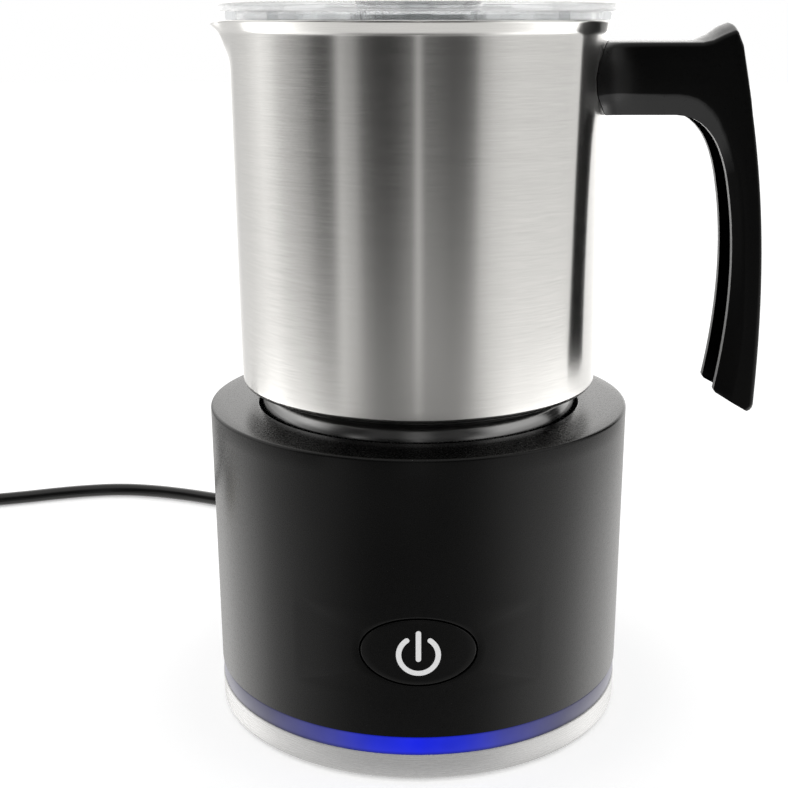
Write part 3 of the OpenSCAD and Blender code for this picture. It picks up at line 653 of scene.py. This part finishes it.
def make_housing():
    """Round shell with a rounded top edge, the button's oval opening and the lead's hole."""
    r, r_in = BASE_R / MM, (BASE_R - BASE_WALL) / MM
    top, bottom, well = BASE_TOP / MM, HOUSE_Z / MM, WELL_R / MM
    edge_r, well_edge_r = 0.8, 0.4
    land, chamfer = 4, 0.25
    heights = [bottom + chamfer, 14.6, 17.3, 20, 22.7, 25.4, 27, 31, 35, 39.4, 43.8, 48, 52, 60, 70,
               80, 88, top - edge_r]
    rows = len(heights)
    outline = [(r - chamfer, bottom)] + [(r, z) for z in heights]
    outline += arc((r - edge_r, top - edge_r), edge_r, 15, 90, 5)
    outline += [(r - land, top), (well + land, top)]
    outline += arc((well + well_edge_r, top - well_edge_r), well_edge_r, 90, 180, 4)
    outline += [(well, top - BASE_WALL / MM), (r_in - 1, top - BASE_WALL / MM)]
    inner = len(outline)
    outline += [(r_in, z) for z in reversed(heights)] + [(r_in, bottom)]
    # Each patch: its rows, its middle column and half its width, its side, outline and edge
    front = (heights.index(27), heights.index(52), COLUMNS * 3 // 4, 22, -1, oval, 0.3)
    back = (heights.index(14.6), heights.index(25.4), COLUMNS // 4, 6, 1,
            round_hole(LEAD_HOLE_Z, LEAD_HOLE_R), 0.0)

    def skip(i, k):
        """True for a cell of the grid that one of the openings' patches takes."""
        for row_a, row_b, middle, half, *_ in (front, back):
            if middle - half <= k < middle + half:
                if 1 + row_a <= i < 1 + row_b:
                    return True
                if inner + rows - 1 - row_b <= i < inner + rows - 1 - row_a:
                    return True
        return False

    parts = [turned(outline, skip=skip)]
    for row_a, row_b, middle, half, side, edge, rounding in (front, back):
        zs = heights[row_a:row_b + 1]
        order = range(-half, half + 1) if side < 0 else range(half, -half - 1, -1)
        angles = [2 * math.pi * (middle + k) / COLUMNS for k in order]
        outer, turns = pierced_patch(r, zs, [r * math.cos(a) for a in angles], edge, side,
                                     rounding)
        inside, _ = pierced_patch(r_in, zs, [r_in * math.cos(a) for a in angles], edge, side, 0)
        parts.append(loft(outer + inside[::-1]))
    boss_at, boss_r, bore_r, boss_low, boss_top = 51, 3.8, 1.25, 3.9, 82
    boss = [(bore_r, boss_low), (boss_r, boss_low), (boss_r, boss_top), (bore_r, boss_top)]
    for angle in (45, 135, 225, 315):
        x = boss_at * math.cos(math.radians(angle))
        y = boss_at * math.sin(math.radians(angle))
        parts.append(moved(turned(boss, columns=24), (x, y, 0)))
    make_piece("housing", together(*parts), "base", "satin_black", ["base_housing"], sharp=40)


def make_button():
    """Oval cap, flush with the housing, with a rounded edge, a flange and a stem behind."""
    r = BASE_R / MM
    turns = [2 * math.pi * k / 96 for k in range(96)]
    edge, deep = 0.3, 4.0
    flange, flange_t = 1.4, 1.5
    stem_r, stem_long, stem_y = 2.2, 6.5, -56.5
    rings = [[on_wall(0, OVAL_Z, r, -1)]]
    for share in (0.15, 0.3, 0.45, 0.6, 0.75, 0.88, 1):
        ring = []
        for t in turns:
            x, z = oval(t, -OVAL_GAP - edge)
            ring.append(on_wall(x * share, OVAL_Z + (z - OVAL_Z) * share, r, -1))
        rings.append(ring)
    for tilt in (25, 50, 70, 90):
        a = math.radians(tilt)
        rings.append([on_wall(*oval(t, -OVAL_GAP - edge * (1 - math.sin(a))),
                              r - edge * (1 - math.cos(a)), -1) for t in turns])
    rings.append([on_wall(*oval(t, -OVAL_GAP), r - deep, -1) for t in turns])
    rings.append([on_wall(*oval(t, flange), r - deep, -1) for t in turns])
    rings.append([on_wall(*oval(t, flange), r - deep - flange_t, -1) for t in turns])
    rings.append([on_wall(0, OVAL_Z, r - deep - flange_t, -1)])
    stem = [(0.0, 0.0), (stem_r, 0.0), (stem_r, stem_long), (0.0, stem_long)]
    points, faces = turned(stem, columns=24, joined=False)
    points = [Vector((p.x, p.z, p.y)) + Vector((0, stem_y, OVAL_Z)) * MM for p in points]
    make_piece("button", together(loft(rings), (points, faces)), "button", "satin_black",
               ["button_cap"], sharp=40)


def make_symbol():
    """The power symbol: an open ring and a bar with round ends, a hair proud of the cap."""
    r = BASE_R / MM
    middle_z, ring_r, half, gap = 38.7, 5.3, 0.72, 36
    bar_top, bar_long = 6.4, 7.6
    steps, bar_steps = 56, 12
    arcs = [math.radians(90 + gap + (360 - 2 * gap) * i / steps) for i in range(steps + 1)]
    open_ring = [(ring_r * math.cos(a), ring_r * math.sin(a)) for a in arcs]
    bar = [(0, bar_top - bar_long * i / bar_steps) for i in range(bar_steps + 1)]
    parts = [symbol_stroke(line, half, middle_z, r) for line in (open_ring, bar)]
    make_piece("symbol", together(*parts), "button", "symbol_white", ["power_symbol"], sharp=50)


def symbol_stroke(line, half, middle_z, r):
    """A flat stroke of a given half width along a line in the button's face, with round ends."""
    centres, sides = [], []
    ends = [math.radians(a) for a in (90, 67.5, 45, 22.5)]
    last = len(line) - 1
    for i, (x, z) in enumerate(line):
        (x0, z0), (x1, z1) = line[max(0, i - 1)], line[min(last, i + 1)]
        long = math.hypot(x1 - x0, z1 - z0)
        along = ((x1 - x0) / long, (z1 - z0) / long)
        caps = [0]
        if i == 0:
            caps = [-math.sin(a) for a in ends] + [0]
        if i == last:
            caps = [0] + [math.sin(a) for a in reversed(ends)]
        for shift in caps:
            wide = half * math.sqrt(max(0, 1 - shift * shift))
            centres.append((x + along[0] * half * shift, z + along[1] * half * shift))
            sides.append((-along[1] * wide, along[0] * wide))
    profile = [(-1, -0.4), (-1, 0.03), (-0.85, 0.06), (0.85, 0.06), (1, 0.03), (1, -0.4)]
    rings = []
    for (x, z), (sx, sz) in zip(centres, sides):
        ring = []
        for across, rise in profile:
            ring.append(on_wall(x + sx * across, middle_z + z + sz * across, r + rise, -1))
        rings.append(ring)
    return loft(rings)


def make_glow_ring():
    """The light ring: a band set 0.2 mm back from the housing, with rounded edges."""
    r, z0, z1 = BASE_R / MM, GLOW_Z / MM, HOUSE_Z / MM
    deep, back, edge = 4.4, 0.5, 0.3
    seat = r - 0.45
    outline = [(r - deep, z0), (seat, z0)] + arc((r - back, z0 + edge), edge, -80, 0, 3)
    outline += arc((r - back, z1 - edge), edge, 0, 80, 3) + [(seat, z1), (r - deep, z1)]
    make_piece("glow", turned(outline), "base", "glow_blue", ["glow_ring"], sharp=50)


def make_trim_ring():
    """The bright ring at the bottom, with a ledge inside that the light ring stands on."""
    r, z0, z1 = BASE_R / MM, TRIM_Z / MM, GLOW_Z / MM
    inner = r - 2.3
    ledge, ledge_t = inner - 3.7, 2
    low_edge, top_edge = 0.9, 0.35
    outline = [(inner, z0)] + arc((r - low_edge, z0 + low_edge), low_edge, -90, 0, 5)
    outline += arc((r - top_edge, z1 - top_edge), top_edge, 0, 90, 4) + [(ledge, z1)]
    outline += [(ledge, z1 - ledge_t), (inner, z1 - ledge_t)]
    make_piece("trim", turned(outline), "base", "trim_silver", ["trim_ring"], sharp=50)


# ------------------------------------------------------------------ jug

# The jug's wall, in millimetres
BELLY_Z = 101.4            # height of the middle of its bottom corner's arc
CORNER_R = 1.7
CORNER_AT = 49.5           # distance of that arc's middle from the axis
STEP_R = 42                # radius of the step that the foot ring holds
SHELL_LOW = 99.7           # lowest point of the wall outside the step
BELLY_REACH = 18           # height over which the wall comes out to its full radius
FLARE = 3.3                # height of the cone at the rim
FLARE_BEND = 0.05          # softens the bend at the cone's foot
LIP = 0.4                  # height of the rounded lip on it
SPOUT_FROM = 186.5         # height at which the spout starts to leave the wall
SPOUT_ANGLE = 9.5          # degrees from its middle at which the spout has lost two thirds
SPOUT_DIP = 1.1            # how far the spout's lip hangs below the rim


def wall_radius(z):
    """Outer radius of the jug's wall: a slight belly at the bottom, a small cone at the rim."""
    rim = RIM_Z / MM
    jug, draw = JUG_R / MM, JUG_R / MM - CORNER_AT - CORNER_R
    above = z - rim + FLARE
    rise = (above + math.sqrt(above * above + FLARE_BEND)) / 2
    flare = (RIM_R - JUG_R) / MM * rise / FLARE
    return jug - draw * math.exp(-(z - BELLY_Z) / BELLY_REACH) + flare


def spouted(point, angle):
    """Moves a point of the wall outwards into the spout, which is on the -X side."""
    x, y, z = point
    rim = RIM_Z / MM
    radius = math.hypot(x, y)
    up = (z - SPOUT_FROM) / (rim - SPOUT_FROM)
    if up <= 0:
        return point
    off = abs(math.degrees(angle) - 180)
    peak = math.exp(-(off / SPOUT_ANGLE) ** 1.8)
    bend = 0.3
    ramp = up * up / (2 * bend) if up < bend else up - bend / 2
    out = (SPOUT_REACH - RIM_R) / MM * ramp / (1 - bend / 2) * peak
    scale = (radius + out) / radius
    return x * scale, y * scale, z - SPOUT_DIP * peak * max(0, up) ** 6


def jug_side(t):
    """The wall's outline from the floor's middle up to the rim, t inside the outer face."""
    floor = JUG_FLOOR / MM
    turn = 1.5             # radius of the floor's edge
    side = [(0, floor + t), (20, floor + t), (STEP_R - turn, floor + t)]
    side += arc((STEP_R - turn, floor + turn), turn - t, -75, 0, 4)
    side += [(STEP_R - t, SHELL_LOW - 0.4 + t)]
    side += [(STEP_R + 0.2 - t, SHELL_LOW + t)]
    side += arc((CORNER_AT, BELLY_Z), CORNER_R - t, -84, 0, 12)
    rim = RIM_Z / MM
    heights = [BELLY_Z + (SPOUT_FROM - BELLY_Z) * (i / 24) ** 1.2 for i in range(1, 25)]
    heights += [SPOUT_FROM + (rim - LIP - SPOUT_FROM) * i / 34 for i in range(1, 35)]
    return side + [(wall_radius(z) - t, z) for z in heights]


def make_jug():
    """The steel shell, with its wall of one thickness, a rounded lip and the spout."""
    t = STEEL / MM
    rim = RIM_Z / MM
    lip = arc((wall_radius(rim - LIP) - t / 2, rim - LIP), t / 2, 30, 150, 4)
    outline = jug_side(0) + lip + jug_side(t)[::-1]
    make_piece("steel_jug", turned(outline, joined=False, place=spouted), "jug", "jug_steel",
               ["jug_shell"], sharp=40)


def make_foot_ring():
    """Glossy ring under the jug: a wide curve that the light strips catch, and a tight one."""
    r, z0 = FOOT_R / MM, WELL_Z / MM
    wide_r, wide_z, wide_turn = 8.5, 92.3, 28
    tight_r, edge, inner = 3, 0.8, 38
    clear = 0.1            # between the ring and the jug's step
    wide = arc((r - wide_r, wide_z), wide_r, 0, wide_turn, 8)
    tight = arc((wide[-1][0] - tight_r * math.cos(math.radians(wide_turn)),
                 wide[-1][1] - tight_r * math.sin(math.radians(wide_turn))), tight_r, 36, 88, 6)
    outline = [(inner, z0), (r - edge, z0)] + arc((r - edge, z0 + edge), edge, -70, 0, 4)
    outline += wide + tight
    outline += [(STEP_R + clear, SHELL_LOW - 2 * clear), (STEP_R + clear, JUG_FLOOR / MM - clear),
                (inner, JUG_FLOOR / MM - clear)]
    make_piece("foot_ring", turned(outline), "jug", "gloss_black", ["jug_foot"], sharp=40)


# ------------------------------------------------------------------ handle

# The handle's outlines in the XZ plane, in millimetres
ARM_START = 52             # where the arm meets the jug's wall
ARM_TOP = 194
ARM_UNDER = 175.2
ARM_END = 70               # where its underside starts to bend into the grip
THUMB_X = 83.9             # where its top ends, behind the thumb rest
OUTER_CURVE = [(86, 196.5), (92.5, 168), (98, 145), (96.8, 95)]
THROAT_CURVE = [(ARM_END, ARM_UNDER), (79, 175), (83.5, 167), (85.6, 155.5)]
GRIP_CURVE = [(85.6, 155.5), (89.2, 138), (88.6, 118), (85.4, 98.7)]


def cubic(p, t):
    """Point of a cubic curve with four control points."""
    weights = ((1 - t) ** 3, 3 * (1 - t) ** 2 * t, 3 * (1 - t) * t * t, t ** 3)
    return tuple(sum(w * q[k] for w, q in zip(weights, p)) for k in range(2))


def handle_stations():
    """Pairs of points (x, z): on the handle's outer outline, and across it on the inner one."""
    pairs = []
    for x in (ARM_START, 52.6, 53.4, 54.6, 56.2, 58.5, 62, 66, ARM_END):
        pairs.append(((x, ARM_TOP), (x, ARM_UNDER)))
    for i in range(1, 6):
        t = i / 10
        x, z = cubic(THROAT_CURVE, t)
        top_x = ARM_END + (THUMB_X - ARM_END) * (i / 5) ** 0.9
        pairs.append(((top_x, thumb_edge(top_x)), (x, z)))
    corner = arc((84.2, 195.5), 1.3, 75, 15, 4)     # the thumb rest's rounded end
    for i, place in enumerate(corner):
        pairs.append((place, cubic(THROAT_CURVE, 0.53 + 0.03 * i)))
    for i in range(1, 9):
        pairs.append((cubic(OUTER_CURVE, i / 24), cubic(THROAT_CURVE, 0.65 + 0.35 * i / 8)))
    for i in range(1, 17):
        pairs.append((cubic(OUTER_CURVE, (8 + i) / 24), cubic(GRIP_CURVE, i / 16)))
    tip = [((96.8, 94), (85.3, 98.4)), ((96.6, 93), (85.4, 98.0)), ((96, 92.2), (85.6, 97.6)),
           ((95.2, 91.8), (85.9, 97.2))]
    return pairs + tip


def thumb_edge(x):
    """Height of the top's side edges: level along the arm, rising at the thumb rest."""
    return ARM_TOP + 2.66 * smooth((x - 77) / 8.5)


def handle_section(across, depth, rise, ear, wall):
    """Half a section from its middle to its lower edge, as (y, depth) pairs.

    across is the half width, depth the distance to the inner outline, rise the crown's
    height, ear(d) what the saddle adds to the width at a depth, and wall the inset."""
    corner = 1.6           # radius of the outer edges
    bevel, bevel_in = 5.6, 1.5     # height of the bevel at the lower edge, and its width
    half = across - wall
    turn = max(0.25, corner - wall)
    crown = [(half - turn) * k / 5 for k in range(6)]
    points = [(y, wall - rise * (1 - (y / across) ** 2)) for y in crown]
    base = wall - rise * (1 - ((half - turn) / across) ** 2)
    for tilt in (25, 50, 75, 90):
        a = math.radians(tilt)
        points.append((half - turn + turn * math.sin(a), base + turn * (1 - math.cos(a))))
    first = points[-1][1]
    bend = max(first + 0.5, depth - bevel)
    for share in (0.3, 0.6, 0.96):
        points.append((half, first + (bend - first) * share))
    for share in (0.04, 0.35, 0.68, 1):
        points.append((half - bevel_in * share, bend + (depth - bend) * share))
    return [(y + ear(d), d) for y, d in points]


def crown_height(x, share):
    """The outer face's crown: slight on the arm, full at the thumb rest, less on the grip."""
    if share > 0.5:
        return 1.2
    return 0.5 + 2.2 * smooth((x - 75) / 7) if x < 84 else 2.2


SADDLE_REACH = 12          # distance from the wall over which the handle takes its shape


def ear_width(z):
    """How far the saddle stands out sideways on the jug's wall at a height."""
    return 11.5 * max(0, 1 - ((z - 184.8) / 9.9) ** 2) ** 0.8


def make_handle():
    """An open channel: an arm with a saddle on the jug's wall, a thumb rest and a grip."""
    stations = handle_stations()
    wall = 2.4
    rings = []
    for i, (outer, inner) in enumerate(stations):
        depth = math.dist(outer, inner)
        along = ((inner[0] - outer[0]) / depth, (inner[1] - outer[1]) / depth)
        crown = crown_height(outer[0], i / (len(stations) - 1))
        near = outer[0] - ARM_START
        fade = math.exp(-(near / 2.2)) if near < SADDLE_REACH else 0

        def ear(d):
            return ear_width(outer[1] + along[1] * d) * fade

        ring = []
        for inset, sides in ((0, (1, -1)), (wall, (-1, 1))):
            half = handle_section(HANDLE_W / MM, depth, crown, ear, inset)
            for side in sides:
                run = half[::-1] if side == sides[0] else half[1:]
                ring += [handle_point(outer, along, side * y, d, near) for y, d in run]
        rings.append(ring)
    count = len(rings[0])
    points, faces = loft(rings)
    outer_count = count // 2
    for ends in (0, len(rings) - 1):
        base = ends * count
        for k in range(outer_count - 1):
            faces.append([base + k, base + k + 1, base + count - 2 - k, base + count - 1 - k])
    make_piece("handle", (points, faces), "jug", "handle_black", ["handle_shell"], sharp=32)


def handle_point(outer, along, y, d, near):
    """A point of a section; next to the jug it follows the jug's round wall."""
    x, z = outer[0] + along[0] * d, outer[1] + along[1] * d
    if near < SADDLE_REACH:
        wall = wall_radius(z) + 0.12
        on_jug = math.sqrt(wall * wall - y * y) + near
        blend = smooth(near / SADDLE_REACH)
        x = on_jug * (1 - blend) + x * blend
    return Vector((x, y, z)) * MM


# ------------------------------------------------------------------ whisk and lid

def make_whisk_wire():
    """Stainless wire wound round the whisk's ring."""
    ring_r = (high("whisk_coil").x - low("whisk_coil").x) / 2 / MM
    coil_r = (high("whisk_coil").z - low("whisk_coil").z) / 2 / MM
    wire, turns, steps = 0.45, 64, 14
    middle = ring_r - coil_r
    rings = []
    for i in range(turns * steps):
        a = 2 * math.pi * i / (turns * steps)
        b = a * turns
        out = Vector((math.cos(a), math.sin(a), 0))
        spoke = out * math.cos(b) + Vector((0, 0, 1)) * math.sin(b)
        centre = out * middle + spoke * (coil_r - wire)
        run = (Vector((-math.sin(a), math.cos(a), 0)) * (middle / turns)
               + (Vector((0, 0, 1)) * math.cos(b) - out * math.sin(b)) * (coil_r - wire))
        side = run.cross(spoke).normalized()
        ring = [centre + (spoke * math.cos(c) + side * math.sin(c)) * wire
                for c in [2 * math.pi * k / 6 for k in range(6)]]
        rings.append([Vector((p.x, p.y, p.z + WHISK_Z / MM)) * MM for p in ring])
    make_piece("whisk_wire", loft(rings, joined=True), "whisk", "spring_wire", ["whisk_coil"],
               sharp=80)


def make_sensor_spring():
    """The spring under the sensor: a wire helix in the CAD spring's box that moves with the sensor
    as a whole.
    """
    (x0, y0, z0), (x1, y1, z1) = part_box("sensor_spring")
    wire, turns, steps = 0.25 * MM, 5, 32
    radius = (x1 - x0) / 2 - wire
    rings = []
    for i in range(turns * steps + 1):
        a = 2 * math.pi * i / steps
        out = Vector((math.cos(a), math.sin(a), 0))
        middle = Vector(((x0 + x1) / 2, (y0 + y1) / 2, 0)) + out * radius
        middle.z = z0 + wire + (z1 - z0 - 2 * wire) * i / (turns * steps)
        rings.append([middle + (out * math.cos(b) + Vector((0, 0, math.sin(b)))) * wire
                      for b in [2 * math.pi * k / 10 for k in range(10)]])
    points, faces = loft(rings)
    last = len(points) - 10
    faces += [list(range(10)), list(range(last, last + 10))]
    spring = make_piece("spring_wire_coil", (points, faces), "sensor", "spring_wire",
                        ["sensor_spring"], sharp=60)
    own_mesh(spring)


def make_lid():
    """Clear cover: plate with a rounded edge, skirt, ribs, and a grip recess with a bar."""
    top, r = LID_TOP / MM, LID_R / MM
    plate, plug, skirt_low, grip, floor = 2.3, 49.6, 191.5, 17, 193
    under = top - plate
    outline = [(0, floor), (grip - 1.5, floor)] + arc((grip - 1.5, floor + 1.5), 1.5, -60, 0, 3)
    outline += arc((grip + 0.8, top - 0.8), 0.8, 180, 90, 4)
    outline += arc((r - 0.7, top - 0.7), 0.7, 90, 0, 4) + arc((r - 0.5, under + 0.5), 0.5, 0, -90, 3)
    outline += [(plug + 0.3, under), (plug, under - 0.3), (plug, skirt_low + 0.4),
                (plug - 0.4, skirt_low), (plug - 1.2, skirt_low), (plug - 1.6, skirt_low + 0.4),
                (plug - 1.6, under - 0.6), (plug - 2.2, under)]
    outline += [(grip + 2.4, under), (grip + 1.6, under - 0.8), (grip + 1.6, floor - 0.6),
                (grip + 0.6, floor - 1.6), (0, floor - 1.6)]
    parts = [turned(outline, joined=False)]
    bar = 4                # half the width of the grip's bar
    long = grip - 0.2
    section = [(-bar, floor - 0.2), (bar, floor - 0.2), (bar, top - 1)]
    section += [(bar - 1 + x, top - 1 + z) for x, z in arc((0, 0), 1, 20, 90, 3)]
    section += [(-bar + 1 + x, top - 1 + z) for x, z in arc((0, 0), 1, 90, 160, 3)]
    section += [(-bar, top - 1)]
    rings = [[Vector((x, y, z)) * MM for x, z in section] for y in (-long, -8, 0, 8, long)]
    points, faces = loft(rings)
    last = 4 * len(section)
    faces += [list(range(len(section))), [last + k for k in range(len(section))]]
    parts.append((points, faces))
    ribs, rib_half, rib_out = 12, 0.35, 52.5
    rib = block((plug - 0.1, rib_out), (-rib_half, rib_half), (RIM_Z / MM, under + 0.05))
    parts += [moved(rib, (0, 0, 0), 15 + 360 / ribs * k) for k in range(ribs)]
    make_piece("lid", together(*parts), "lid", "clear_lid", ["lid_cover"], sharp=35)


def block(xs, ys, zs):
    """Points and faces of a small box."""
    points = [Vector((x, y, z)) * MM for x in xs for y in ys for z in zs]
    faces = [(0, 1, 3, 2), (4, 6, 7, 5), (0, 4, 5, 1), (2, 3, 7, 6), (0, 2, 6, 4), (1, 5, 7, 3)]
    return points, [list(f) for f in faces]


# ------------------------------------------------------------------ making

MATERIALS = make_materials()
make_camera()
make_lead(MATERIALS["lead_rubber"])
paint_cad_nodes()
make_world()
make_floor()
make_housing()
make_button()
make_symbol()
make_glow_ring()
make_trim_ring()
make_jug()
make_foot_ring()
make_handle()
make_whisk_wire()
make_sensor_spring()
make_lid()

bpy.context.scene.view_settings.view_transform = "Standard"
